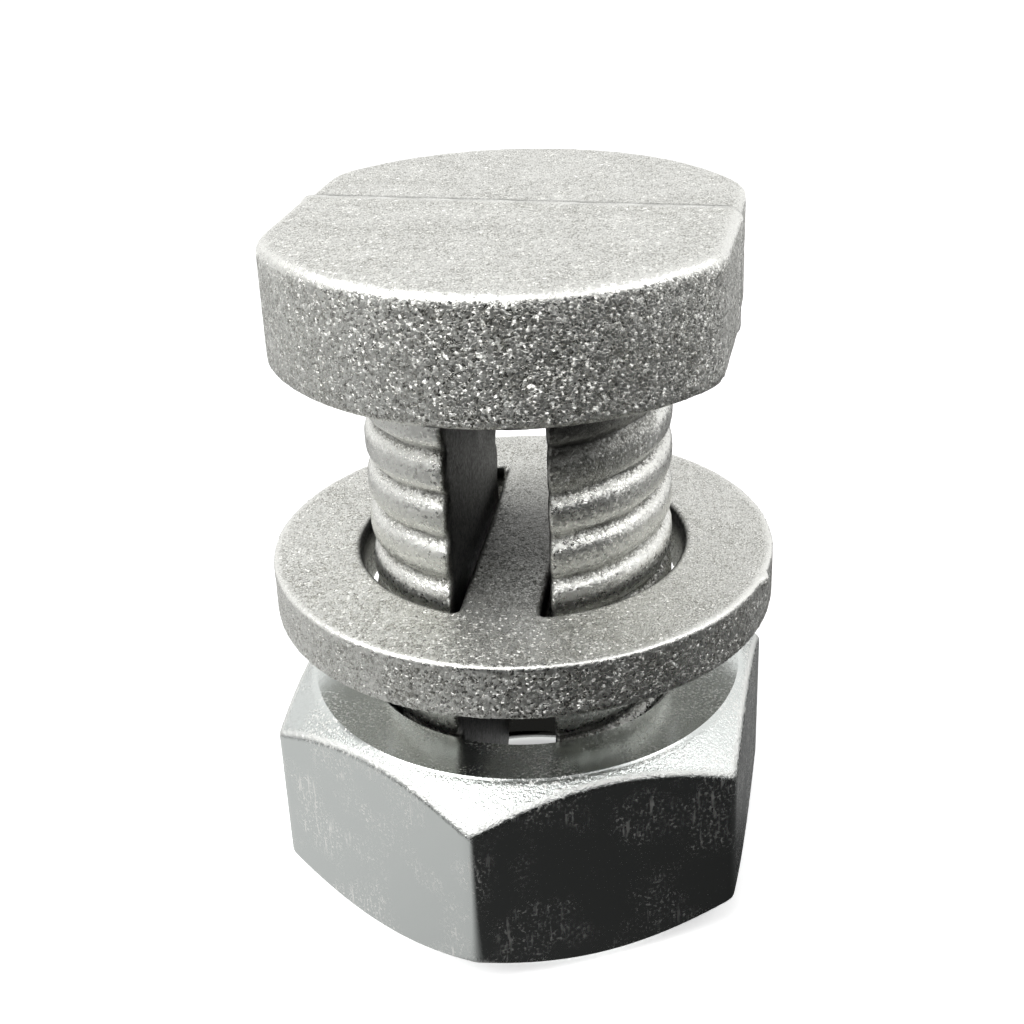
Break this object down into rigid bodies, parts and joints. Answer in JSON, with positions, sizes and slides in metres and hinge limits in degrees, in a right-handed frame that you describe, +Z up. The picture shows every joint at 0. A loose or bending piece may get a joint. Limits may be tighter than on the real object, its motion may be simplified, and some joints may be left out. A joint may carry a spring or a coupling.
{
  "type": "split bolt connector",
  "caption": "Split bolt wire connector: a cast slotted bolt with a flat-sided head, a saddle washer whose bridge runs in the slot, and a hex nut that clamps the wires.",
  "frame": {"origin": "centre of the nut's lower face, on the axis of the bolt", "axes": "+Z up along the bolt's axis towards the head, +Y along the slot and the wires, +X across the slot; the head's flats face 4 degrees from X, towards -Y"},
  "size_m": [0.017, 0.0182, 0.0237],
  "materials": {
    "cast_zinc": "bare zinc casting, tumbled, with a fine sparkling grain",
    "plated_steel": "bright zinc plate, shiny, with wear marks and rubbed edges"
  },
  "bodies": {
    "nut": {"hex_nut": "plated_steel"},
    "washer": {"saddle_washer": "cast_zinc"},
    "bolt": {"split_bolt": "cast_zinc"}
  },
  "joints": [
    {"name": "nut_turn", "type": "hinge", "parent": "nut", "child": "washer", "pos_m": [0, 0, 0.01125], "axis": [0, 0, 1], "range_deg": [-1728, 960]},
    {"name": "bolt_travel", "type": "slide", "parent": "washer", "child": "bolt", "axis": [0, 0, 1], "range_m": [-0.0072, 0.004]}
  ],
  "couplings": [
    {"joint": "bolt_travel", "follows": "nut_turn", "m_per_rad": 0.00023873}
  ]
}
